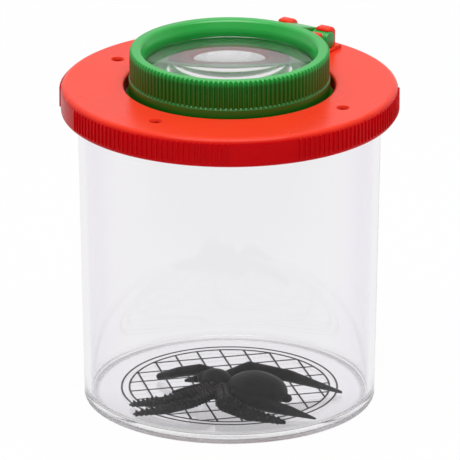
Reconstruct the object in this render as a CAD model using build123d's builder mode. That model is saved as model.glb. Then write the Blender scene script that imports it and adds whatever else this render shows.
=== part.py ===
from build123d import *
from math import acos, atan2, copysign, cos, hypot, radians, sin, sqrt, tan
import os

os.makedirs("parts", exist_ok=True)

# A child's bug catcher jar. A clear jar with a measuring grid printed on its floor is closed
# by a red push-on lid. The lid carries a fixed lower lens in a sunken well, and a second lens
# in a green frame that flips up on a snap-in hinge. A soft toy spider lies in the jar.
# Lengths are millimetres and +Z is up. The origin is the centre of the jar's foot, the hinge
# is on the +Y side and its pin lies along X.

# Main sizes of the jar.
jar_height = 67.0
foot_radius = 30.5
jar_draft_degrees = 1.1
jar_wall = 1.4
floor_thickness = 1.65
foot_recess = 0.5
foot_ring_width = 1.8
foot_rounding = 0.8
floor_rounding = 1.1
rim_rounding = 0.5

# Main sizes of the lid.
lid_radius = 35.2
lid_plate = 2.05
skirt_height = 6.2
skirt_wall = 1.3
skirt_lip = 0.9
lid_rounding = 1.2
ridge_depth = 0.3
ridge_width = 0.34
ridge_height = 4.4
ridge_foot = 0.95
ridge_runs = 4
ridges_in_run = 35
run_degrees = 65
well_radius = 22.05
well_wall = 1.4
well_lip = 0.6
well_depth = 4.05
seat_thickness = 1.5
lens_opening_radius = 16.8
push_fit = 0.3
rib_count = 12
rib_width = 1.0
vent_radius = 1.1
vent_circle = 27.95

# Main sizes of the two lenses.
lower_lens_radius = 16.5
lower_flange = 1.4
lower_crown = 1.6
lower_belly = 3.0
lens_fit = 0.05
upper_lens_radius = 18.3
upper_lens_edge = 1.6
upper_crown = 2.4
upper_belly = 1.9

# Main sizes of the flip-up lens frame.
frame_height = 10.0
frame_radius = 20.85
frame_shoulder = 0.6
frame_sight_radius = 17.55
frame_funnel_radius = 18.65
frame_funnel_depth = 2.0
frame_inner_rounding = 0.5
frame_ledge_height = 3.4
frame_band_height = 3.8
frame_band_radius = 21.0
frame_flange_radius = 21.5
frame_flange_height = 0.45
frame_gap = 0.2
snap_bead = 0.25
flute_count = 125
flute_depth = 0.25
flute_width = 0.5
flute_height = 5.5

# Main sizes of the hinge.
hinge_reach = 28.8
pin_radius = 1.75
pin_length = 13.3
pin_fit = 0.08
knuckle_radius = 2.05
knuckle_width = 5.4
knuckle_gap = 0.3
arm_drop = 1.9
arm_root_reach = 19.4
arm_root_drop = 0.2
hook_width = 3.85
hook_wall = 1.35
hook_cap = 0.6
hook_lip_setback = 0.6
jaw_width = 2.7
jaw_reach = 3.3
jaw_thickness = 1.8
jaw_rise = 1.85
hook_base_width = 4.5
hook_base_front = 2.2
hook_base_back = 4.1
hook_base_height = 1.3

# Main sizes of the printed grid.
grid_thickness = 0.1
grid_ring_radius = 21.07
grid_outer_ring_radius = 22.7
grid_line = 0.4
grid_pitch = 5.0
grid_turn_degrees = 46
grid_offset = 1.1

# Main sizes of the toy spider.
spider_length = 50.0
spider_x = 1.4
spider_y = -7.1
spider_turn_degrees = 3
abdomen_length = 12.0
abdomen_width = 8.4
abdomen_reach = 9.6
thorax_length = 7.4
thorax_width = 5.4
thorax_lift = 0.6
waist_radius = 1.6

lid_top = jar_height + lid_plate
skirt_bottom = lid_top - skirt_height
seat_top = lid_top - well_depth
seat_bottom = seat_top - seat_thickness
hinge_height = lid_top + knuckle_radius + knuckle_gap
mouth_radius = foot_radius + jar_height * tan(radians(jar_draft_degrees))
grid_top = floor_thickness + grid_thickness


def turned(corners):
    """Lathe profile in the XZ plane; a corner is (radius, height, rounding)."""
    with BuildSketch(Plane.XZ) as profile:
        with BuildLine():
            Polyline([(radius, height) for radius, height, _ in corners], close=True)
        make_face()
        for radius, height, rounding in corners:
            if rounding > 0:
                fillet(profile.vertices().sort_by_distance((radius, height))[0], rounding)
    return profile.sketch


def dome(radius, edge, crown):
    """Arc of a lens face from the axis at height crown to its edge."""
    rise = crown - edge
    ball = (radius**2 + rise**2) / (2 * rise)
    middle = crown - ball + copysign(sqrt(ball**2 - radius**2 / 4), ball)
    return ThreePointArc((0, crown), (radius / 2, middle), (radius, edge))


# Jar: one clear moulding with a slight draft, a rounded heel and a foot ring round a recess.
jar_inner_foot = foot_radius - jar_wall + floor_thickness * tan(radians(jar_draft_degrees))
with BuildPart() as jar:
    jar_corners = (
        (0, foot_recess, 0),
        (foot_radius - foot_ring_width - foot_recess, foot_recess, 0),
        (foot_radius - foot_ring_width, 0, 0),
        (foot_radius, 0, foot_rounding),
        (mouth_radius, jar_height, rim_rounding),
        (mouth_radius - jar_wall, jar_height, rim_rounding),
        (jar_inner_foot, floor_thickness, floor_rounding),
        (0, floor_thickness, 0),
    )
    add(turned(jar_corners))
    revolve(axis=Axis.Z)
jar.part.label = "jar"
export_step(jar.part, "parts/jar.step")

# Measuring grid: black ink on the jar's floor, two rings and a square grid within the inner.
with BuildPart() as measuring_grid:
    with BuildSketch(Plane.XY.offset(floor_thickness)):
        for ring_radius in (grid_outer_ring_radius, grid_ring_radius):
            Circle(ring_radius + grid_line / 2)
            Circle(ring_radius - grid_line / 2, mode=Mode.SUBTRACT)
        for turn, start in ((0, grid_pitch / 2), (90, grid_offset)):
            steps = int(2 * grid_ring_radius / grid_pitch)
            offsets = [start + step * grid_pitch for step in range(-steps, steps)]
            for offset in [value for value in offsets if abs(value) < grid_ring_radius]:
                reach = sqrt(grid_ring_radius**2 - offset**2)
                with Locations(Rotation(0, 0, grid_turn_degrees + turn)):
                    with Locations((0, offset)):
                        Rectangle(2 * reach, grid_line)
    extrude(amount=grid_thickness)
measuring_grid.part.label = "measuring_grid"
export_step(measuring_grid.part, "parts/measuring_grid.step")

# Lid: a plate with a skirt that grips the jar's mouth, and a sunken well for the lenses.
with BuildPart() as lid:
    well_outer = well_radius + well_wall
    skirt_inner = lid_radius - skirt_wall
    lid_corners = (
        (lens_opening_radius, seat_bottom, 0),
        (well_outer, seat_bottom, well_lip),
        (well_outer, jar_height, 0),
        (skirt_inner, jar_height, well_lip),
        (skirt_inner, skirt_bottom, 0),
        (lid_radius, skirt_bottom, skirt_lip),
        (lid_radius, lid_top, lid_rounding),
        (well_radius, lid_top, well_lip),
        (well_radius, seat_top, 0),
        (lens_opening_radius, seat_top, well_lip),
    )
    add(turned(lid_corners))
    revolve(axis=Axis.Z)
    rib_tip = mouth_radius + push_fit
    rib_depth = skirt_inner - rib_tip + skirt_wall / 2
    with BuildSketch(Plane.XY.offset(skirt_bottom + skirt_wall / 2)):
        with PolarLocations(rib_tip + rib_depth / 2, rib_count):
            Rectangle(rib_depth, rib_width)
    extrude(amount=jar_height - skirt_bottom)

    # Fine upright ridges for the fingers, in runs with a smooth panel between them.
    ridge_middle = lid_radius + ridge_depth - (ridge_depth + skirt_wall / 2) / 2
    with BuildSketch(Plane.XY.offset(skirt_bottom + ridge_foot)):
        for run in range(ridge_runs):
            first_degrees = run * 360 / ridge_runs - run_degrees / 2
            with PolarLocations(ridge_middle, ridges_in_run, first_degrees, run_degrees, endpoint=True):
                Rectangle(ridge_depth + skirt_wall / 2, ridge_width)
    extrude(amount=ridge_height)

    # The two hooks stand on the plate; each is a block bored for the pin and open in front.
    hook_inner = knuckle_width / 2 + knuckle_gap
    bore_radius = pin_radius + pin_fit
    hook_back = hinge_reach + bore_radius + hook_wall
    cap_top = hinge_height + bore_radius + hook_cap
    for side in (-1, 1):
        hook_plane = Plane.YZ.offset(side * hook_inner)
        with BuildSketch(hook_plane):
            with BuildLine():
                Polyline(
                    (hinge_reach - hook_lip_setback, lid_top),
                    (hinge_reach - hook_lip_setback, cap_top),
                    (hinge_reach + bore_radius, cap_top),
                    (hook_back, hinge_height),
                    (hook_back, lid_top),
                    close=True,
                )
            make_face()
        extrude(amount=side * hook_width)
        with BuildSketch(hook_plane):
            with BuildLine():
                Polyline(
                    (hinge_reach - hook_base_front, lid_top - lid_plate / 2),
                    (hinge_reach - hook_base_front, lid_top + hook_base_height / 2),
                    (hinge_reach - hook_base_front / 2, lid_top + hook_base_height),
                    (hinge_reach + hook_base_back / 2, lid_top + hook_base_height),
                    (hinge_reach + hook_base_back, lid_top - lid_plate / 2),
                    close=True,
                )
            make_face()
        extrude(amount=side * hook_base_width)
        with BuildSketch(hook_plane):
            with BuildLine():
                Polyline(
                    (hinge_reach - jaw_reach, lid_top - lid_plate / 2),
                    (hinge_reach - jaw_reach, hinge_height + jaw_rise),
                    (hinge_reach - jaw_reach + jaw_thickness, hinge_height + jaw_rise),
                    (hinge_reach - jaw_reach + jaw_thickness, lid_top - lid_plate / 2),
                    close=True,
                )
            make_face()
        extrude(amount=side * jaw_width)
    with Locations(Location((0, hinge_reach, hinge_height), (0, 90, 0))):
        Cylinder(bore_radius, 2 * (hook_inner + hook_base_width), mode=Mode.SUBTRACT)

    # Three air vents; the hinge stands where a fourth would be.
    for vent_degrees in (0, 180, 270):
        vent_x = vent_circle * cos(radians(vent_degrees))
        vent_y = vent_circle * sin(radians(vent_degrees))
        with BuildSketch(Plane.XY.offset(jar_height)):
            with Locations((vent_x, vent_y)):
                Circle(vent_radius)
        extrude(amount=lid_plate, mode=Mode.SUBTRACT)
lid.part.label = "lid"
export_step(lid.part, "parts/lid.step")

# Lower lens: a clear biconvex disc with a flat flange that is pressed into the well's seat.
lower_flange_radius = well_radius - lens_fit
lower_flange_top = seat_top + lower_flange
with BuildPart() as lower_lens:
    with BuildSketch(Plane.XZ):
        with BuildLine():
            dome(lower_lens_radius, lower_flange_top, lower_flange_top + lower_crown)
            Polyline(
                (lower_lens_radius, lower_flange_top),
                (lower_flange_radius, lower_flange_top),
                (lower_flange_radius, seat_top),
                (lower_lens_radius, seat_top),
            )
            dome(lower_lens_radius, seat_top, seat_top - lower_belly)
            Line((0, seat_top - lower_belly), (0, lower_flange_top + lower_crown))
        make_face()
    revolve(axis=Axis.Z)
lower_lens.part.label = "lower_lens"
export_step(lower_lens.part, "parts/lower_lens.step")

# Lens frame: the green ring with its arm, knuckle and the pin moulded in one piece with it.
frame_bottom = lower_flange_top + frame_gap
frame_top = frame_bottom + frame_height
frame_step = frame_bottom + frame_band_height
ledge_height = frame_top - frame_ledge_height
frame_bore = upper_lens_radius + lens_fit
bead_height = ledge_height - upper_lens_edge - lens_fit
with BuildPart() as lens_frame:
    frame_corners = (
        (frame_bore, frame_bottom, 0),
        (frame_flange_radius, frame_bottom, 0),
        (frame_flange_radius, frame_bottom + frame_flange_height, 0),
        (frame_band_radius, frame_bottom + 2 * frame_flange_height, 0),
        (frame_band_radius, frame_step, 0),
        (frame_radius, frame_step, 0),
        (frame_radius, frame_top, frame_shoulder),
        (frame_funnel_radius, frame_top, frame_inner_rounding),
        (frame_sight_radius, frame_top - frame_funnel_depth, 0),
        (frame_sight_radius, ledge_height, 0),
        (frame_bore, ledge_height, 0),
        (frame_bore, bead_height, 0),
        (frame_bore - snap_bead, bead_height - snap_bead, 0),
        (frame_bore, bead_height - 2 * snap_bead, 0),
    )
    add(turned(frame_corners))
    revolve(axis=Axis.Z)

    # Shallow upright flutes give the ring its grip.
    with BuildSketch(Plane.XY.offset(frame_step)):
        with PolarLocations(frame_radius, flute_count):
            Rectangle(2 * flute_depth, flute_width)
    extrude(amount=flute_height, mode=Mode.SUBTRACT)

    # The arm's top runs from the rim to touch the knuckle's circle.
    arm_bottom = hinge_height - arm_drop
    arm_root_top = frame_top - arm_root_drop
    arm_span = hypot(hinge_reach - arm_root_reach, arm_root_top - hinge_height)
    arm_lean = atan2(arm_root_top - hinge_height, arm_root_reach - hinge_reach)
    touch = arm_lean - acos(knuckle_radius / arm_span)
    touch_reach = hinge_reach + knuckle_radius * cos(touch)
    touch_height = hinge_height + knuckle_radius * sin(touch)
    with BuildSketch(Plane.YZ):
        with BuildLine():
            Polyline(
                (arm_root_reach, arm_bottom),
                (arm_root_reach, arm_root_top),
                (touch_reach, touch_height),
                (hinge_reach, hinge_height),
                (hinge_reach, arm_bottom),
                close=True,
            )
        make_face()
        with Locations((hinge_reach, hinge_height)):
            Circle(knuckle_radius)
    extrude(amount=knuckle_width / 2, both=True)
    with Locations(Location((0, hinge_reach, hinge_height), (0, 90, 0))):
        Cylinder(pin_radius, pin_length)
lens_frame.part.label = "lens_frame"
export_step(lens_frame.part, "parts/lens_frame.step")

# Upper lens: a clear biconvex disc held between the frame's ledge and its snap bead.
upper_lens_bottom = ledge_height - upper_lens_edge
with BuildPart() as upper_lens:
    with BuildSketch(Plane.XZ):
        with BuildLine():
            dome(frame_sight_radius, ledge_height, ledge_height + upper_crown)
            Polyline(
                (frame_sight_radius, ledge_height),
                (upper_lens_radius, ledge_height),
                (upper_lens_radius, upper_lens_bottom),
                (frame_sight_radius, upper_lens_bottom),
            )
            dome(frame_sight_radius, upper_lens_bottom, upper_lens_bottom - upper_belly)
            Line((0, upper_lens_bottom - upper_belly), (0, ledge_height + upper_crown))
        make_face()
    revolve(axis=Axis.Z)
upper_lens.part.label = "upper_lens"
export_step(upper_lens.part, "parts/upper_lens.step")

# Toy spider: one soft moulding. A leg is a chain of tapering limbs from hip to tip; its points
# and its thickness at each are shares of the spider's length, from the middle of the thorax.
leg_shares = (
    (
        (-0.05, 0.03, 0.095, 0.020),
        (-0.10, 0.01, 0.105, 0.018),
        (-0.20, 0.01, 0.065, 0.015),
        (-0.31, 0.03, 0.016, 0.010),
    ),
    (
        (-0.06, 0.01, 0.065, 0.016),
        (-0.085, -0.025, 0.075, 0.014),
        (-0.14, -0.02, 0.045, 0.008),
    ),
    (
        (-0.03, -0.055, 0.055, 0.016),
        (-0.065, -0.105, 0.055, 0.015),
        (-0.135, -0.12, 0.025, 0.009),
    ),
    (
        (0.02, -0.08, 0.065, 0.020),
        (0.00, -0.24, 0.075, 0.018),
        (-0.10, -0.29, 0.045, 0.016),
        (-0.235, -0.29, 0.010, 0.005),
    ),
    (
        (0.045, -0.09, 0.055, 0.020),
        (0.045, -0.26, 0.065, 0.018),
        (-0.05, -0.32, 0.035, 0.016),
        (-0.16, -0.375, 0.010, 0.005),
    ),
    (
        (0.07, -0.07, 0.055, 0.020),
        (0.175, -0.20, 0.065, 0.018),
        (0.295, -0.185, 0.035, 0.016),
        (0.41, -0.12, 0.010, 0.005),
    ),
    (
        (0.09, -0.06, 0.045, 0.020),
        (0.275, -0.08, 0.055, 0.017),
        (0.385, -0.045, 0.035, 0.014),
        (0.49, -0.005, 0.010, 0.005),
    ),
    (
        (0.00, 0.06, 0.065, 0.022),
        (0.085, 0.13, 0.115, 0.020),
        (0.225, 0.22, 0.075, 0.017),
        (0.42, 0.31, 0.010, 0.005),
    ),
)


def egg(length, width):
    """Solid turned about X with an elliptical outline."""
    with BuildPart(mode=Mode.PRIVATE) as body:
        with BuildSketch(Plane.XZ):
            Ellipse(length / 2, width / 2)
            Rectangle(length, width, align=(Align.CENTER, Align.MAX), mode=Mode.SUBTRACT)
        revolve(axis=Axis.X)
    return body.part


abdomen_height = grid_top + abdomen_width / 2
thorax_height = grid_top + thorax_lift + thorax_width / 2
with BuildPart() as toy_spider:
    with Locations(Location((spider_x, spider_y, thorax_height), (0, 0, spider_turn_degrees))):
        add(egg(thorax_length, thorax_width))
        with Locations((abdomen_reach, 0, abdomen_height - thorax_height)):
            add(egg(abdomen_length, abdomen_width))
        with Locations(Rotation(0, 90, 0)):
            Cylinder(waist_radius, abdomen_reach, align=(Align.CENTER, Align.CENTER, Align.MIN))
    for shares in leg_shares:
        points = []
        for across_share, along_share, height_share, thickness_share in shares:
            point = Vector(
                spider_x + across_share * spider_length,
                spider_y + along_share * spider_length,
                grid_top + height_share * spider_length,
            )
            points.append((point, thickness_share * spider_length))
        for point, radius in points[:-1]:
            with Locations(point):
                Sphere(radius)
        for (start, start_radius), (end, end_radius) in zip(points, points[1:]):
            limb = end - start
            with Locations(Plane(origin=start, z_dir=limb)):
                Cone(
                    start_radius,
                    end_radius,
                    limb.length,
                    align=(Align.CENTER, Align.CENTER, Align.MIN),
                )
toy_spider.part.label = "toy_spider"
export_step(toy_spider.part, "parts/toy_spider.step")
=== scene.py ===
import math

import bmesh
import bpy
from mathutils import Matrix, Vector


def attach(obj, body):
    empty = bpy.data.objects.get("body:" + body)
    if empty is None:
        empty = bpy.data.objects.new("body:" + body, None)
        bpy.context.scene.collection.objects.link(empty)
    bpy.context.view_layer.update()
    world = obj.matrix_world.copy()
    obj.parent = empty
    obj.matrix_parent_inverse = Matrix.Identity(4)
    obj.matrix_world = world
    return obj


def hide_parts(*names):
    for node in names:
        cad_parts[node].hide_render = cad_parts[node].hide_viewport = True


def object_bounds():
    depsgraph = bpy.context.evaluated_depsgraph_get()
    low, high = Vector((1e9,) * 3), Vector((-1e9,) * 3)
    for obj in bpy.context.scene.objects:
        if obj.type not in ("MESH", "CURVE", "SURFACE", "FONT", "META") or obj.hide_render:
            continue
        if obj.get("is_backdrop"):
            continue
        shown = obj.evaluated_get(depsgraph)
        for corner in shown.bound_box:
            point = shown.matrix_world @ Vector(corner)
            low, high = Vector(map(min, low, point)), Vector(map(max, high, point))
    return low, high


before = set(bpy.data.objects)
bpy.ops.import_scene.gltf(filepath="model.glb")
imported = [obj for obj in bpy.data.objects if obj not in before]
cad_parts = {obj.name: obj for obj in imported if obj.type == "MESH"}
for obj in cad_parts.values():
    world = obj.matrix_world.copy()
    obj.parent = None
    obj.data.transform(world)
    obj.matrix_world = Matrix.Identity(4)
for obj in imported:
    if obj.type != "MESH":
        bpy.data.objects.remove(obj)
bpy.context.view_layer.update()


# The jar is one clear polystyrene moulding, polished inside and out, with a slight draft, a
# rounded heel and a foot ring round its recessed base. Handling leaves it faintly scratched.
jar_height = 0.067
jar_foot_radius = 0.0305
jar_mouth_radius = 0.03179
jar_wall = 0.0014
jar_floor = 0.00165
foot_recess = 0.0005
foot_ring_width = 0.0018
foot_ring_rounding = 0.0004
heel_rounding = 0.0008
rim_rounding = 0.0005
floor_rounding = 0.0011
satin_from_height = 0.0022
satin_full_height = 0.0008
satin_from_reach = 0.0272
satin_full_reach = 0.0277
jar_tint = (0.995, 0.99, 1)
# A darker lavender colour at a grazing angle: a painted reflection at the jar's edges.
jar_grazing_reflection_tint = (0.91, 0.89, 0.94)


def finished(name, mesh, crease_degrees=35):
    """Merges a mesh's doubles, shades it smooth but for its creases, and makes its object."""
    bmesh.ops.remove_doubles(mesh, verts=mesh.verts[:], dist=1e-7)
    bmesh.ops.recalc_face_normals(mesh, faces=mesh.faces[:])
    for face in mesh.faces:
        face.smooth = True
    for edge in mesh.edges:
        if len(edge.link_faces) == 2:
            edge.smooth = edge.calc_face_angle() < math.radians(crease_degrees)
    data = bpy.data.meshes.new(name)
    mesh.to_mesh(data)
    mesh.free()
    piece = bpy.data.objects.new(name, data)
    bpy.context.scene.collection.objects.link(piece)
    return piece


def bevelled(mesh, geom, offset, segments, affect="EDGES"):
    """Rounds the given edges or corners of a mesh."""
    bmesh.ops.bevel(
        mesh, geom=geom, offset=offset, affect=affect, segments=segments, profile=0.5, material=-1
    )


def spun(mesh, angle, steps, copies):
    """Spins all of a mesh about Z, as one sweep or as separate copies."""
    bmesh.ops.spin(
        mesh,
        geom=mesh.verts[:] + mesh.edges[:] + mesh.faces[:],
        cent=(0, 0, 0),
        axis=(0, 0, 1),
        angle=angle,
        steps=steps,
        use_duplicate=copies,
    )


def spun_full(mesh, steps):
    """Spins an outline full circle about Z: one sector as a sweep, then copies of the sector."""
    sectors = 8
    spun(mesh, math.tau / sectors, steps // sectors, False)
    spun(mesh, math.tau * (sectors - 1) / sectors, sectors - 1, True)


def turned(corners, steps, segments=5):
    """Mesh turned about Z from its corners, each (radius, height, rounding)."""
    mesh = bmesh.new()
    outline = [mesh.verts.new((radius, 0, height)) for radius, height, _ in corners]
    mesh.faces.new(outline)
    for corner, (_, _, rounding) in zip(outline, corners):
        if rounding:
            bevelled(mesh, [corner], rounding, segments, "VERTICES")
    bmesh.ops.delete(mesh, geom=mesh.faces[:], context="FACES_ONLY")
    on_axis = [e for e in mesh.edges if all(v.co.x < 1e-6 for v in e.verts)]
    bmesh.ops.delete(mesh, geom=on_axis, context="EDGES")
    # A point close to each end of a long straight keeps it flat when it is shaded smooth.
    long_straight = 0.0005
    end_gap = 0.00006
    for edge in [e for e in mesh.edges if e.calc_length() > long_straight]:
        end = edge.verts[0]
        _, near = bmesh.utils.edge_split(edge, end, end_gap / edge.calc_length())
        longer = max(near.link_edges, key=lambda e: e.calc_length())
        bmesh.utils.edge_split(longer, longer.other_vert(near), end_gap / longer.calc_length())
    spun_full(mesh, steps)
    return mesh


class Wire:
    """A shader socket. Sums on it add Math nodes, and node() adds any other node."""

    def __init__(self, tree, socket=None):
        self.tree = tree
        self.socket = socket

    def node(self, kind, settings=None, sockets=None, output=0):
        made = self.tree.nodes.new(kind)
        for name, value in (settings or {}).items():
            if name == "stops":
                ramp = made.color_ramp.elements
                while len(ramp) < len(value):
                    ramp.new(1)
                for stop, (position, colour) in zip(ramp, value):
                    stop.position = position
                    stop.color = (*colour, 1)
            else:
                setattr(made, name, value)
        for name, value in (sockets or {}).items():
            if isinstance(value, Wire):
                self.tree.links.new(value.socket, made.inputs[name])
            else:
                made.inputs[name].default_value = value
        return Wire(self.tree, made.outputs[output] if made.outputs else None)

    def rising(self, start, end):
        """0 at start and 1 at end, held past both; start may be the greater of the two."""
        limits = {"Value": self, "From Min": start, "From Max": end}
        return self.node("ShaderNodeMapRange", {}, limits)

    def maths(self, operation, first, second):
        return self.node("ShaderNodeMath", {"operation": operation}, {0: first, 1: second})

    def __add__(self, other):
        return self.maths("ADD", self, other)

    def __sub__(self, other):
        return self.maths("SUBTRACT", self, other)

    def __rsub__(self, other):
        return self.maths("SUBTRACT", other, self)

    def __mul__(self, other):
        return self.maths("MULTIPLY", self, other)

    __radd__ = __add__
    __rmul__ = __mul__


def new_material(name):
    """Empty node material and a wire on its node tree."""
    material = bpy.data.materials.new(name)
    material.use_nodes = True
    material.node_tree.nodes.clear()
    return material, Wire(material.node_tree)


def reach_from_axis(place):
    """Distance of a place from the jar's upright axis."""
    flat = place.node("ShaderNodeVectorMath", {"operation": "MULTIPLY"}, {0: place, 1: (1, 1, 0)})
    return place.node("ShaderNodeVectorMath", {"operation": "LENGTH"}, {0: flat}, "Value")


def clear_plastic(name, tint, grazing_reflection_tint, ior, haze):
    """Polished clear plastic, a little rubbed, whose colour goes to its grazing tint at a grazing angle; a
    darker, lavender grazing tint is a painted reflection at the edges.

    Where the jar stands on the table its foot ring is satin. The lenses are too high for that.
    """
    material, wire = new_material(name)
    place = wire.node("ShaderNodeTexCoord", output="Object")
    ripple = wire.node("ShaderNodeTexNoise", {}, {"Vector": place, "Scale": 60.0, "Detail": 1.0})
    rubbed = wire.node("ShaderNodeTexNoise", {}, {"Vector": place, "Scale": 900.0, "Detail": 3.0})
    bump = wire.node(
        "ShaderNodeBump", {}, {"Height": ripple, "Strength": 0.02, "Distance": 0.00002}
    )
    heights = wire.node("ShaderNodeSeparateXYZ", {}, {"Vector": place}, "Z")
    low = heights.rising(satin_from_height, satin_full_height)
    outer = reach_from_axis(place).rising(satin_from_reach, satin_full_reach)
    grazing = wire.node("ShaderNodeLayerWeight", {}, {"Blend": 0.5}, "Facing")
    # Towards a grazing angle the colour blends to the grazing tint: a painted reflection, darker and more
    # lavender, at the plastic's edges.
    tint_and_grazing_reflection = wire.node(
        "ShaderNodeValToRGB", {"stops": ((0.3, tint), (0.6, grazing_reflection_tint))}, {"Fac": grazing}
    )
    plastic = wire.node(
        "ShaderNodeBsdfPrincipled",
        {},
        {
            "Base Color": tint_and_grazing_reflection,
            "Roughness": rubbed * haze + low * outer * 0.4,
            "Transmission Weight": 1.0,
            "IOR": ior,
            "Normal": bump,
        },
    )
    wire.node("ShaderNodeOutputMaterial", {}, {"Surface": plastic})
    return material


jar_corners = (
    (0, foot_recess, 0),
    (jar_foot_radius - foot_ring_width - foot_recess, foot_recess, foot_ring_rounding),
    (jar_foot_radius - foot_ring_width, 0.0, foot_ring_rounding),
    (jar_foot_radius, 0.0, heel_rounding),
    (jar_mouth_radius, jar_height, rim_rounding),
    (jar_mouth_radius - jar_wall, jar_height, rim_rounding),
    (jar_foot_radius - jar_wall, jar_floor, floor_rounding),
    (0, jar_floor, 0),
)
clear_jar = finished("clear_jar", turned(jar_corners, 256))
jar_clear = clear_plastic("jar_polystyrene", jar_tint, jar_grazing_reflection_tint, ior=1.44, haze=0.02)
clear_jar.data.materials.append(jar_clear)
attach(clear_jar, "jar")
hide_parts("jar")


# The measuring grid is black ink, pad printed on the jar's floor: an outer ring, an inner ring
# and 5 mm squares within it. The ink is a thin film, a little uneven where the pad lifted.
ink_low = jar_floor + 0.00001
ink_high = jar_floor + 0.00009
grid_ring_radius = 0.02107
grid_outer_ring_radius = 0.0227
grid_line = 0.0004
grid_pitch = 0.005
grid_turn = math.radians(46.5)
grid_first_line = 0.0016
grid_first_cross_line = 0.0022


def box(mesh, size, middle):
    """Adds a box and gives its vertices."""
    verts = bmesh.ops.create_cube(mesh, size=1)["verts"]
    bmesh.ops.scale(mesh, verts=verts, vec=size)
    bmesh.ops.translate(mesh, verts=verts, vec=middle)
    return verts


def rotated(mesh, verts, angle, axis="Z"):
    """Turns vertices about an axis through the origin."""
    bmesh.ops.rotate(mesh, verts=verts, cent=(0, 0, 0), matrix=Matrix.Rotation(angle, 3, axis))


mesh = bmesh.new()
for ring_radius in (grid_ring_radius, grid_outer_ring_radius):
    inner = ring_radius - grid_line / 2
    outer = ring_radius + grid_line / 2
    section = [
        mesh.verts.new((radius, 0, height))
        for radius, height in ((inner, ink_low), (outer, ink_low), (outer, ink_high), (inner, ink_high))
    ]
    sides = [mesh.edges.new((section[side - 1], section[side])) for side in range(4)]
    bmesh.ops.spin(
        mesh,
        geom=section + sides,
        cent=(0, 0, 0),
        axis=(0, 0, 1),
        angle=math.tau,
        steps=192,
        use_merge=True,
    )
for turn, first_line in (
    (grid_turn, grid_first_line),
    (grid_turn + math.pi / 2, grid_first_cross_line),
):
    steps = int(2 * grid_ring_radius / grid_pitch)
    for offset in [first_line + step * grid_pitch for step in range(-steps, steps)]:
        if abs(offset) < grid_ring_radius:
            reach = math.sqrt(grid_ring_radius**2 - offset**2)
            size = (2 * reach, grid_line, ink_high - ink_low)
            bar = box(mesh, size, (0, offset, (ink_high + ink_low) / 2))
            rotated(mesh, bar, turn)
printed_grid = finished("printed_grid", mesh)

material, wire = new_material("printed_ink")
place = wire.node("ShaderNodeTexCoord", output="Object")
mottle = wire.node("ShaderNodeTexNoise", {}, {"Vector": place, "Scale": 900.0, "Detail": 3.0})
ink_colour = wire.node(
    "ShaderNodeValToRGB",
    {"stops": ((0.3, (0.012, 0.013, 0.016)), (0.75, (0.045, 0.045, 0.05)))},
    {"Fac": mottle},
)
ink = wire.node(
    "ShaderNodeBsdfPrincipled",
    {},
    {"Base Color": ink_colour, "Roughness": 0.35 + mottle * 0.3},
)
wire.node("ShaderNodeOutputMaterial", {}, {"Surface": ink})
printed_grid.data.materials.append(material)
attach(printed_grid, "jar")
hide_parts("measuring_grid")


# The lid is one red polypropylene moulding that pushes over the jar's mouth. Its middle sinks
# into a well with a seat for the lower lens, and three vents go through its plate.
lid_radius = 0.0352
lid_top = 0.06905
lid_shoulder_rounding = 0.0012
plate_under = jar_height
skirt_bottom = 0.06285
skirt_wall = 0.0013
skirt_lip_rounding = 0.0009
well_radius = 0.02205
well_wall = 0.0014
well_lip_rounding = 0.0006
seat_top = 0.065
seat_bottom = 0.0635
sight_hole = 0.0168
inner_rounding = 0.0004
edge_break = 0.0002
vent_radius = 0.0011
vent_mouth_radius = 0.00145
vent_countersink = 0.0006
vent_circle = 0.02795
cutter_past_top = 0.00005
cutter_top = lid_top + 0.001
# Heights over which the lid's top takes its lighter, more orange red: painted light.
lid_painted_light_from = lid_top - 0.001
lid_painted_light_full = lid_top - 0.0001


def cut(piece, cutter, overlaps, crease_degrees=35):
    """Takes the cutter's solid out of a piece, and the cutter out of the scene."""
    modifier = piece.modifiers.new("cut", "BOOLEAN")
    modifier.operation = "DIFFERENCE"
    modifier.solver = "EXACT"
    modifier.use_self = overlaps
    modifier.object = cutter
    graph = bpy.context.evaluated_depsgraph_get()
    mesh = bmesh.new()
    mesh.from_object(piece, graph)
    piece.modifiers.clear()
    for edge in mesh.edges:
        if len(edge.link_faces) == 2:
            edge.smooth = edge.calc_face_angle() < math.radians(crease_degrees)
    # A face that lies level with all its neighbours is shaded flat, so that long ones stay even.
    level = 0.001
    for face in mesh.faces:
        face.smooth = any(edge.calc_face_angle(0) > level for edge in face.edges)
    mesh.to_mesh(piece.data)
    mesh.free()
    bpy.data.objects.remove(cutter)


lid_corners = (
    (sight_hole, seat_bottom, edge_break),
    (well_radius + well_wall, seat_bottom, well_lip_rounding),
    (well_radius + well_wall, plate_under, edge_break),
    (lid_radius - skirt_wall, plate_under, inner_rounding),
    (lid_radius - skirt_wall, skirt_bottom, edge_break),
    (lid_radius, skirt_bottom, skirt_lip_rounding),
    (lid_radius, lid_top, lid_shoulder_rounding),
    (well_radius, lid_top, well_lip_rounding),
    (well_radius, seat_top, edge_break / 2),
    (sight_hole, seat_top, inner_rounding),
)
lid_shell = finished("lid_shell", turned(lid_corners, 360, 8))
vent_corners = (
    (0, seat_top, 0),
    (vent_radius, seat_top, 0),
    (vent_radius, lid_top - vent_countersink, 0),
    (vent_mouth_radius, lid_top + cutter_past_top, 0),
    (vent_mouth_radius, cutter_top, 0),
    (0, cutter_top, 0),
)
for vent_turn in (0, math.pi, 1.5 * math.pi):
    mesh = turned(vent_corners, 64)
    bmesh.ops.translate(mesh, verts=mesh.verts[:], vec=(vent_circle, 0, 0))
    rotated(mesh, mesh.verts[:], vent_turn)
    cut(lid_shell, finished("vent_cutter", mesh), False)

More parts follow.
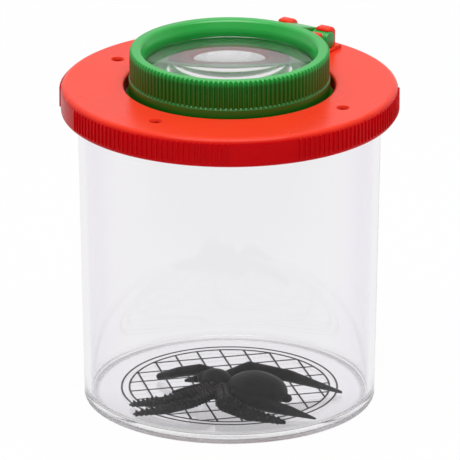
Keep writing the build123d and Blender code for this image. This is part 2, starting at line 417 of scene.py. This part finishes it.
red_material, wire = new_material("red_polypropylene")
place = wire.node("ShaderNodeTexCoord", output="Object")
flow = wire.node("ShaderNodeTexNoise", {}, {"Vector": place, "Scale": 45.0, "Detail": 2.0})
grain = wire.node("ShaderNodeTexNoise", {}, {"Vector": place, "Scale": 5200.0, "Detail": 2.0})
heights = wire.node("ShaderNodeSeparateXYZ", {}, {"Vector": place}, "Z")
# The lid's top is painted a lighter, more orange red than its sides, a lit copy and a shaded copy of the
# one red: painted light and sheen on the top, painted shade on the sides.
painted_light_on_top = heights.rising(lid_painted_light_from, lid_painted_light_full)
shaded_side_red = wire.node(
    "ShaderNodeValToRGB",
    {"stops": ((0.3, (0.58, 0.0006, 0.003)), (0.7, (0.64, 0.001, 0.004)))},
    {"Fac": flow},
)
lit_top_red = wire.node(
    "ShaderNodeValToRGB",
    {"stops": ((0.3, (0.80, 0.036, 0.013)), (0.7, (0.86, 0.044, 0.014)))},
    {"Fac": flow},
)
red_bump = wire.node(
    "ShaderNodeBump", {}, {"Height": grain, "Strength": 0.15, "Distance": 0.00002}
)
reds = []
for red_colour, shine in ((shaded_side_red, 0.07), (lit_top_red, 0.19)):
    red = wire.node(
        "ShaderNodeBsdfPrincipled",
        {},
        {
            "Base Color": red_colour,
            "Roughness": 0.22 + flow * 0.12,
            "IOR": 1.49,
            "Specular IOR Level": shine,
            "Subsurface Weight": 0.2,
            "Subsurface Radius": (0.0015, 0.0003, 0.0002),
            "Subsurface Scale": 1.0,
            "Normal": red_bump,
        },
    )
    reds.append(red)
red_shader = wire.node("ShaderNodeMixShader", {}, {"Fac": painted_light_on_top, 1: reds[0], 2: reds[1]})
wire.node("ShaderNodeOutputMaterial", {}, {"Surface": red_shader})
lid_shell.data.materials.append(red_material)
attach(lid_shell, "lid")
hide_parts("lid")


# The skirt's grip is a run of fine upright ridges, moulded in one with the lid. Four smooth
# panels on the diagonals break it, where the mould parts.
ridge_count = 35
ridge_depth = 0.000299
ridge_width = 0.00034
ridge_rounding = 0.00015
ridge_low = 0.0638
ridge_high = 0.0682
panel_turn = math.radians(25)
run_turn = math.pi / 2 - panel_turn

mesh = bmesh.new()
ridge_size = (2 * ridge_depth, ridge_width, ridge_high - ridge_low)
box(mesh, ridge_size, (lid_radius, 0, (ridge_high + ridge_low) / 2))
outer_edges = [e for e in mesh.edges if all(v.co.x > lid_radius for v in e.verts)]
bevelled(mesh, outer_edges, ridge_rounding, 3)
rotated(mesh, mesh.verts[:], -run_turn / 2)
spun(mesh, run_turn, ridge_count - 1, True)
spun(mesh, math.tau * 3 / 4, 3, True)
skirt_ridges = finished("skirt_ridges", mesh, 60)
skirt_ridges.data.materials.append(red_material)
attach(skirt_ridges, "lid")


# Twelve crush ribs stand inside the skirt, moulded in one with the lid. They grip the jar's
# rim when the lid is pushed on.
rib_count = 12
rib_width = 0.001
rib_height = 0.0037
rib_middle = 0.06545
rib_rounding = 0.0002
rib_tip = jar_mouth_radius + 0.0003
rib_root = lid_radius - skirt_wall / 2

mesh = bmesh.new()
for rib in range(rib_count):
    rib_size = (rib_root - rib_tip, rib_width, rib_height)
    rib_verts = box(mesh, rib_size, ((rib_tip + rib_root) / 2, 0, rib_middle))
    rotated(mesh, rib_verts, rib * math.tau / rib_count)
bevelled(mesh, mesh.edges[:], rib_rounding, 2)
crush_ribs = finished("crush_ribs", mesh)
crush_ribs.data.materials.append(red_material)
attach(crush_ribs, "lid")


# Two hooks on the lid's plate take the hinge's pin. Each has a base block, a back wall with an
# overhanging cap, and a springy front jaw that the pin is pushed past.
hinge_reach = 0.0288
hinge_height = 0.0714
bore_radius = 0.00183
hook_inner = 0.003
plate_middle = lid_top - 0.0008
cap_width = 0.0034
cap_front = hinge_reach - 0.0004
cap_slope_start = hinge_reach + 0.0018
cap_back = hinge_reach + 0.0026
cap_top = hinge_height + 0.00243
cap_slope_end = hinge_height + 0.0016
base_width = 0.0045
base_front = hinge_reach - 0.0022
base_top_front = hinge_reach - 0.0012
base_top_back = hinge_reach + 0.0028
base_back = hinge_reach + 0.0031
base_top = lid_top + 0.0009
base_front_top = lid_top + 0.0007
base_back_top = lid_top + 0.0006
jaw_width = 0.0027
jaw_front = hinge_reach - 0.0033
jaw_top_front = hinge_reach - 0.0031
jaw_back = hinge_reach - 0.0015
jaw_top = hinge_height + 0.00185


def block(mesh, outline, low, high, rounding):
    """Upright slab between two values of X from an outline of (y, z) points, edges rounded."""
    before = set(mesh.verts)
    face = mesh.faces.new([mesh.verts.new((low, y, z)) for y, z in outline])
    pushed = bmesh.ops.extrude_face_region(mesh, geom=[face])["geom"]
    moved = [v for v in pushed if isinstance(v, bmesh.types.BMVert)]
    bmesh.ops.translate(mesh, verts=moved, vec=(high - low, 0, 0))
    new = [v for v in mesh.verts if v not in before]
    edges = list({e for v in new for e in v.link_edges})
    bevelled(mesh, edges, rounding, 4)


def hinge_rod(mesh, radius, length):
    """Adds a cylinder along the hinge's pin and gives its vertices."""
    verts = bmesh.ops.create_cone(
        mesh, cap_ends=True, segments=64, radius1=radius, radius2=radius, depth=length
    )["verts"]
    rotated(mesh, verts, math.pi / 2, "Y")
    bmesh.ops.translate(mesh, verts=verts, vec=(0, hinge_reach, hinge_height))
    return verts


cap = (
    (cap_front, plate_middle),
    (cap_front, cap_top),
    (cap_slope_start, cap_top),
    (cap_back, cap_slope_end),
    (cap_back, plate_middle),
)
base = (
    (base_front, plate_middle),
    (base_front, base_front_top),
    (base_top_front, base_top),
    (base_top_back, base_top),
    (base_back, base_back_top),
    (base_back, plate_middle),
)
jaw = (
    (jaw_front, plate_middle),
    (jaw_top_front, jaw_top),
    (jaw_back, jaw_top),
    (jaw_back, plate_middle),
)
mesh = bmesh.new()
for side in (-1, 1):
    for outline, width, rounding in (
        (cap, cap_width, 0.0005),
        (base, base_width, 0.0002),
        (jaw, jaw_width, 0.0004),
    ):
        low, high = sorted((side * hook_inner, side * (hook_inner + width)))
        block(mesh, outline, low, high, rounding)
hinge_hooks = finished("hinge_hooks", mesh)
bore_length = 0.02
mesh = bmesh.new()
hinge_rod(mesh, bore_radius, bore_length)
cut(hinge_hooks, finished("bore_cutter", mesh), True)
hinge_hooks.data.materials.append(red_material)
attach(hinge_hooks, "lid")


# The lower lens is clear acrylic, a flat flange round a biconvex middle, pressed into the seat
# at the bottom of the well. It adds its power to the lens above it.
lower_lens_radius = 0.0165
lower_lens_belly = 0.003
lower_lens_crown = 0.0022
flange_radius = 0.022
flange_low = seat_top + 0.00003
flange_top = 0.0664
lens_tint = (0.94, 0.92, 0.935)


def lens(name, sight_radius, rim_radius, low, high, belly, crown):
    """Turned lens: domes rise belly below low and crown above high within the sight radius."""
    mesh = bmesh.new()
    rings = 24
    rim_rounding = 0.0001
    top = []
    bottom = []
    for rise, edge, line in ((crown, high, top), (-belly, low, bottom)):
        ball = (sight_radius**2 + rise**2) / (2 * abs(rise))
        for ring in range(rings + 1):
            radius = sight_radius * ring / rings
            lift = math.sqrt(ball**2 - radius**2) - (ball - abs(rise))
            line.append((radius, edge + math.copysign(lift, rise)))
    rim = [
        (rim_radius - rim_rounding, high),
        (rim_radius, high - rim_rounding),
        (rim_radius, low + rim_rounding),
        (rim_radius - rim_rounding, low),
    ]
    outline = [mesh.verts.new((radius, 0, height)) for radius, height in top + rim + bottom[::-1]]
    for pair in zip(outline, outline[1:]):
        mesh.edges.new(pair)
    spun_full(mesh, 192)
    return finished(name, mesh, 10)


lower_glass = lens(
    "lower_glass",
    lower_lens_radius,
    flange_radius,
    flange_low,
    flange_top,
    lower_lens_belly,
    lower_lens_crown,
)
lens_clear = clear_plastic("lens_acrylic", lens_tint, lens_tint, ior=1.49, haze=0.01)
lower_glass.data.materials.append(lens_clear)
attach(lower_glass, "lid")
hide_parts("lower_lens")


# The flip-up frame is one green polypropylene moulding: a ring fluted for grip under a round
# shoulder, an arm to the hinge, and the knuckle with the pin that snaps into the hooks.
frame_top = 0.0766
frame_radius = 0.02085
frame_sight = 0.01755
frame_bore = 0.01835
frame_low = 0.0666
frame_step = 0.0704
frame_flange_radius = 0.0215
frame_flange_height = 0.00045
frame_band_radius = 0.021
frame_shoulder_rounding = 0.0006
funnel_radius = 0.01865
funnel_depth = 0.002
funnel_rounding = 0.0005
ring_edge_break = 0.0001
ledge = 0.0732
upper_lens_edge = 0.0016
snap_bead = 0.0002
flute_count = 125
flute_depth = 0.00045
flute_low = frame_step + 0.0001
flute_fade = 0.0002
# Where the fluted grip's painted shade fades in, by height and by reach.
grip_from_height = frame_top - 0.0007
grip_full_height = frame_top - 0.0014
grip_from_reach = 0.0195
grip_full_reach = 0.0202
arm_full_reach = 0.0224
arm_from_reach = 0.022

frame_corners = (
    (frame_bore, frame_low, ring_edge_break),
    (frame_flange_radius, frame_low, ring_edge_break),
    (frame_flange_radius, frame_low + frame_flange_height, ring_edge_break),
    (frame_band_radius, frame_low + 2 * frame_flange_height, ring_edge_break),
    (frame_band_radius, frame_step, ring_edge_break),
    (frame_radius, frame_step, 0),
    (frame_radius, frame_step + 0.00012, 0),
    (frame_radius, flute_low + flute_fade, 0),
    (frame_radius, frame_top, frame_shoulder_rounding),
    (funnel_radius, frame_top, funnel_rounding),
    (frame_sight, frame_top - funnel_depth, frame_shoulder_rounding),
    (frame_sight, ledge, ring_edge_break),
    (frame_bore, ledge, 0),
    (frame_bore, ledge - upper_lens_edge, 0),
    (frame_bore - snap_bead, ledge - upper_lens_edge - 0.0003, 0),
    (frame_bore, ledge - upper_lens_edge - 0.0006, 0),
)
mesh = turned(frame_corners, flute_count * 8, 6)
# The flutes are pressed into the outer wall as a flattened wave that fades in above the band.
flute_bottom = frame_radius - flute_depth
for vertex in mesh.verts:
    x, y, z = vertex.co
    radius = math.hypot(x, y)
    if z > flute_low and radius > flute_bottom:
        wave = math.cos(math.atan2(y, x) * flute_count)
        hollow = min(max(0.5 - 0.8 * wave, 0), 1)
        start = min((z - flute_low) / flute_fade, 1)
        depth = (radius - flute_bottom) * hollow * start
        vertex.co.x -= x / radius * depth
        vertex.co.y -= y / radius * depth
flip_ring = finished("flip_ring", mesh, 50)

green_material, wire = new_material("green_polypropylene")
place = wire.node("ShaderNodeTexCoord", output="Object")
flow = wire.node("ShaderNodeTexNoise", {}, {"Vector": place, "Scale": 70.0, "Detail": 2.0})
grain = wire.node("ShaderNodeTexNoise", {}, {"Vector": place, "Scale": 5200.0, "Detail": 2.0})
heights = wire.node("ShaderNodeSeparateXYZ", {}, {"Vector": place}, "Z")
reach = reach_from_axis(place)
below_rim = heights.rising(grip_from_height, grip_full_height)
outside = reach.rising(grip_from_reach, grip_full_reach)
within = reach.rising(arm_full_reach, arm_from_reach)
# The fluted grip below the rim is painted a darker green than the rim: painted shade, standing in for the
# shade in the flutes' valleys.
painted_shade_grip_green = wire.node(
    "ShaderNodeValToRGB",
    {"stops": ((0.3, (0.004, 0.14, 0.006)), (0.7, (0.006, 0.18, 0.009)))},
    {"Fac": flow},
)
rim_green = wire.node(
    "ShaderNodeValToRGB",
    {"stops": ((0.3, (0.006, 0.33, 0.035)), (0.7, (0.01, 0.40, 0.05)))},
    {"Fac": flow},
)
green_colour = wire.node(
    "ShaderNodeMix",
    {"data_type": "RGBA"},
    {0: below_rim * outside * within, 6: rim_green, 7: painted_shade_grip_green},
    2,
)
green_bump = wire.node(
    "ShaderNodeBump", {}, {"Height": grain, "Strength": 0.15, "Distance": 0.00002}
)
green = wire.node(
    "ShaderNodeBsdfPrincipled",
    {},
    {
        "Base Color": green_colour,
        "Roughness": 0.25 + flow * 0.12,
        "IOR": 1.49,
        "Specular IOR Level": 0.6,
        "Normal": green_bump,
    },
)
wire.node("ShaderNodeOutputMaterial", {}, {"Surface": green})
flip_ring.data.materials.append(green_material)
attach(flip_ring, "lens_flip")
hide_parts("lens_frame")

arm_root_reach = 0.0194
arm_root_low = 0.0695
arm_root_top = 0.0764
arm_rounding = 0.0003
knuckle_radius = 0.00205
knuckle_width = 0.0054
pin_radius = 0.00175
pin_length = 0.0133
rod_end_rounding = 0.00025

mesh = bmesh.new()
arm = (
    (arm_root_reach, arm_root_low),
    (arm_root_reach, arm_root_top),
    (hinge_reach + 0.0004, hinge_height + 0.00202),
    (hinge_reach + 0.0012, hinge_height),
    (hinge_reach, hinge_height - 0.0018),
)
block(mesh, arm, -knuckle_width / 2, knuckle_width / 2, arm_rounding)
rods = hinge_rod(mesh, knuckle_radius, knuckle_width) + hinge_rod(mesh, pin_radius, pin_length)
rod_edges = {e for v in rods for e in v.link_edges}
ends = [e for e in rod_edges if e.is_manifold and e.calc_face_angle() > 1]
bevelled(mesh, ends, rod_end_rounding, 3)
hinge_arm = finished("hinge_arm", mesh)
hinge_arm.data.materials.append(green_material)
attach(hinge_arm, "lens_flip")


# The upper lens is a clear acrylic disc, curved on both faces. It is snapped up into the
# ring's bore against the ledge, and a small bead below holds it there.
upper_lens_radius = 0.0183
upper_lens_belly = 0.00085
upper_lens_crown = 0.0015

upper_glass = lens(
    "upper_glass",
    frame_sight,
    upper_lens_radius,
    ledge - upper_lens_edge,
    ledge,
    upper_lens_belly,
    upper_lens_crown,
)
upper_glass.data.materials.append(lens_clear)
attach(upper_glass, "lens_flip")
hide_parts("upper_lens")


# The toy spider is one soft black vinyl moulding that lies loose on the grid. Three of its
# legs are toothed along their sides, and its abdomen is the thickest part of the mould.
tooth_pitch = 0.0011
tooth_length = 0.0009
tooth_sink = 0.0003
tooth_root_radius = 0.00055
tooth_tip_radius = 0.0001
tooth_lean = 0.4
# Rows of teeth round a leg, each by how far it points sideways and how far up.
tooth_rows = ((1, 0.5), (-1, 0.5), (0.1, 1), (1, -0.4), (-1, -0.4))
spider_grain = 0.00016
# A leg is a chain of (x, y, z, radius) from hip to tip, in millimetres, and whether it is toothed.
spider_legs = (
    (
        ((-0.9, -5.4, 6.0, 1.3), (-3.5, -6.0, 6.5, 1.2), (-8.7, -6.3, 4.9, 1.1), (-13.9, -5.6, 2.6, 0.8)),
        False,
    ),
    (
        ((-1.6, -6.7, 5.0, 0.8), (-3.0, -8.3, 5.2, 0.8), (-5.7, -8.1, 4.2, 0.35)),
        False,
    ),
    (
        ((-0.2, -9.4, 4.5, 0.9), (-1.9, -12.1, 4.4, 0.8), (-5.6, -13.1, 3.2, 0.35)),
        False,
    ),
    (
        ((2.3, -10.2, 5.0, 1.2), (0.8, -17.9, 5.2, 1.1), (-3.5, -20.9, 4.0, 1.0), (-10.4, -21.7, 2.2, 0.3)),
        True,
    ),
    (
        ((3.6, -10.6, 4.5, 1.2), (3.4, -19.6, 4.8, 1.1), (-0.6, -23.0, 3.6, 1.0), (-6.6, -25.8, 2.2, 0.3)),
        True,
    ),
    (
        ((4.4, -9.6, 4.8, 1.5), (9.0, -15.4, 4.6, 1.9), (15.0, -16.0, 3.6, 1.4), (21.8, -13.1, 2.3, 0.5)),
        True,
    ),
    (
        ((8.6, -10.6, 4.4, 1.8), (15.2, -10.9, 4.2, 1.5), (20.6, -9.3, 3.4, 1.1), (25.8, -7.4, 2.1, 0.25)),
        False,
    ),
    (
        ((1.3, -4.0, 5.0, 1.3), (5.6, -0.9, 7.0, 1.5), (12.7, 3.6, 5.3, 1.3), (22.4, 8.3, 2.2, 0.35)),
        False,
    ),
)
# A body part is an egg: its middle and half sizes, in millimetres, all turned alike about Z.
spider_turn = math.radians(3)
spider_eggs = (
    ((1.4, -7.1, 5.3), (3.7, 2.9, 2.6)),
    ((-1.2, -7.4, 5.6), (1.6, 1.9, 1.5)),
    ((5.2, -6.9, 5.1), (1.8, 1.5, 1.5)),
    ((11.4, -6.8, 5.5), (6.7, 4.7, 3.7)),
    ((17.9, -6.1, 4.6), (1.4, 1.0, 1.0)),
)


def tapered(mesh, middle, direction, length, root_radius, tip_radius, segments):
    """Adds a tapering limb or tooth about its middle, along a direction."""
    aim = direction.to_track_quat("Z", "Y").to_matrix().to_4x4()
    bmesh.ops.create_cone(
        mesh,
        cap_ends=True,
        segments=segments,
        radius1=root_radius,
        radius2=tip_radius,
        depth=length,
        matrix=Matrix.Translation(middle) @ aim,
    )


mesh = bmesh.new()
for middle, half_sizes in spider_eggs:
    egg = bmesh.ops.create_icosphere(mesh, subdivisions=5, radius=0.001)["verts"]
    bmesh.ops.scale(mesh, verts=egg, vec=half_sizes)
    rotated(mesh, egg, spider_turn)
    bmesh.ops.translate(mesh, verts=egg, vec=Vector(middle) / 1000)
for chain, toothed in spider_legs:
    joints = [(Vector(point[:3]) / 1000, point[3] / 1000) for point in chain]
    for joint, radius in joints:
        bmesh.ops.create_icosphere(
            mesh, subdivisions=3, radius=radius, matrix=Matrix.Translation(joint)
        )
    for (start, start_radius), (end, end_radius) in zip(joints, joints[1:]):
        along = end - start
        tapered(mesh, (start + end) / 2, along, along.length, start_radius, end_radius, 24)
        sideways = along.cross(Vector((0, 0, 1))).normalized()
        for tooth in range(int(along.length / tooth_pitch) if toothed else 0):
            share = (tooth + 0.5) * tooth_pitch / along.length
            radius = start_radius + (end_radius - start_radius) * share
            rise = radius - tooth_sink + tooth_length / 2
            for out, up in tooth_rows:
                lean = sideways * out + Vector((0, 0, up)) + along.normalized() * tooth_lean
                lean = lean.normalized()
                middle = start + along * share + lean * rise
                tapered(mesh, middle, lean, tooth_length, tooth_root_radius, tooth_tip_radius, 8)
vinyl_spider = finished("vinyl_spider", mesh)
fuse = vinyl_spider.modifiers.new("fuse", "REMESH")
fuse.mode = "VOXEL"
fuse.voxel_size = spider_grain
fuse.use_smooth_shade = True
soften = vinyl_spider.modifiers.new("soften", "SMOOTH")
soften.iterations = 5
graph = bpy.context.evaluated_depsgraph_get()
vinyl_spider.data = bpy.data.meshes.new_from_object(vinyl_spider.evaluated_get(graph))
vinyl_spider.modifiers.clear()

spider_material, wire = new_material("soft_black_vinyl")
place = wire.node("ShaderNodeTexCoord", output="Object")
mottle = wire.node("ShaderNodeTexNoise", {}, {"Vector": place, "Scale": 700.0, "Detail": 4.0})
stretched = wire.node("ShaderNodeMapping", {}, {"Vector": place, "Scale": (0.1, 1.0, 1.0)})
creases = wire.node("ShaderNodeTexNoise", {}, {"Vector": stretched, "Scale": 900.0, "Detail": 1.0})
vinyl_colour = wire.node(
    "ShaderNodeValToRGB",
    {"stops": ((0.35, (0.004, 0.004, 0.005)), (0.8, (0.018, 0.017, 0.019)))},
    {"Fac": mottle},
)
vinyl_bump = wire.node(
    "ShaderNodeBump", {}, {"Height": creases, "Strength": 1.0, "Distance": 0.0002}
)
vinyl = wire.node(
    "ShaderNodeBsdfPrincipled",
    {},
    {
        "Base Color": vinyl_colour,
        "Roughness": 0.45 + mottle * 0.2,
        "Specular IOR Level": 0.33,
        "Normal": vinyl_bump,
    },
)
wire.node("ShaderNodeOutputMaterial", {}, {"Surface": vinyl})
vinyl_spider.data.materials.clear()
vinyl_spider.data.materials.append(spider_material)
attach(vinyl_spider, "spider")
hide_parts("toy_spider")


# Studio: a pale floor and a white surround, under one large soft lamp. The room in front of
# the table is dim, so the plastic's front faces reflect little and keep their deep colour.
camera_turn = math.radians(33)
to_front = (math.sin(camera_turn), -math.cos(camera_turn), 0)
behind_dimming = 0.09
front_dimming = 0.6
floor_drop = 0.0002
light_level = 0.38


def shown_white(wire, place, near, far):
    """How much of the white is shown to a ray, and its strength, dimmer in front for gloss."""
    camera_rays = wire.node("ShaderNodeLightPath", output="Is Camera Ray")
    light_path = camera_rays.socket.node
    glossy = Wire(wire.tree, light_path.outputs["Is Glossy Ray"])
    through = Wire(wire.tree, light_path.outputs["Is Transmission Ray"])
    shown = wire.node(
        "ShaderNodeMath",
        {"operation": "ADD", "use_clamp": True},
        {0: camera_rays, 1: glossy + through * 0.98},
    )
    forward = wire.node(
        "ShaderNodeVectorMath", {"operation": "DOT_PRODUCT"}, {0: place, 1: to_front}, "Value"
    )
    limits = {"From Min": near, "From Max": far, "To Min": behind_dimming, "To Max": front_dimming}
    dim = wire.node("ShaderNodeMapRange", {}, {"Value": forward, **limits})
    return shown, 1 - glossy * dim


floor_mesh = bmesh.new()
bmesh.ops.create_grid(floor_mesh, x_segments=1, y_segments=1, size=3)
bmesh.ops.translate(floor_mesh, verts=floor_mesh.verts[:], vec=(0, 0, -floor_drop))
studio_floor = finished("studio_floor", floor_mesh)
floor_material, wire = new_material("floor_white")
place = wire.node("ShaderNodeTexCoord", output="Object")
shown, strength = shown_white(wire, place, 0.0, 0.05)
matt = wire.node("ShaderNodeBsdfDiffuse", {}, {"Color": (0.8, 0.8, 0.8, 1)})
white = wire.node("ShaderNodeEmission", {}, {"Color": (1, 1, 1, 1), "Strength": strength})
floor_shader = wire.node("ShaderNodeMixShader", {}, {"Fac": shown * 0.97, 1: matt, 2: white})
wire.node("ShaderNodeOutputMaterial", {}, {"Surface": floor_shader})
studio_floor.data.materials.append(floor_material)
studio_floor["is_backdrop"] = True

world = bpy.data.worlds.new("studio")
world.use_nodes = True
world.node_tree.nodes.clear()
wire = Wire(world.node_tree)
place = wire.node("ShaderNodeTexCoord", output="Generated")
shown, strength = shown_white(wire, place, 0.0, 0.5)
level = light_level + shown * (strength - light_level)
surround = wire.node("ShaderNodeBackground", {}, {"Color": (1, 1, 1, 1), "Strength": level})
wire.node("ShaderNodeOutputWorld", {}, {"Surface": surround})
bpy.context.scene.world = world

softbox_place = Vector((0.1, -0.15, 0.9))
lid_middle = Vector((0, 0, 0.06))
softbox = bpy.data.lights.new("top_softbox", "AREA")
softbox.size = 0.7
softbox.energy = 7.6
softbox_holder = bpy.data.objects.new("top_softbox", softbox)
softbox_holder.location = softbox_place
softbox_holder.rotation_euler = (softbox_place - lid_middle).to_track_quat("Z", "Y").to_euler()
bpy.context.scene.collection.objects.link(softbox_holder)

camera_distance = 1.9393
camera_height = 0.7514
camera_pitch = math.radians(20.238)
camera = bpy.data.cameras.new("camera")
camera.lens = 771.8
camera.sensor_width = 36
camera.shift_x = 0.00115
camera.clip_end = 20
viewpoint = bpy.data.objects.new("camera", camera)
viewpoint.location = (
    math.sin(camera_turn) * camera_distance,
    -math.cos(camera_turn) * camera_distance,
    camera_height,
)
viewpoint.rotation_euler = (math.pi / 2 - camera_pitch, 0, camera_turn)
bpy.context.scene.collection.objects.link(viewpoint)
bpy.context.scene.camera = viewpoint
bpy.context.scene.view_settings.view_transform = "Standard"
bpy.context.scene.cycles.max_bounces = 32
bpy.context.scene.cycles.glossy_bounces = 16
bpy.context.scene.cycles.transmission_bounces = 24

low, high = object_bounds()
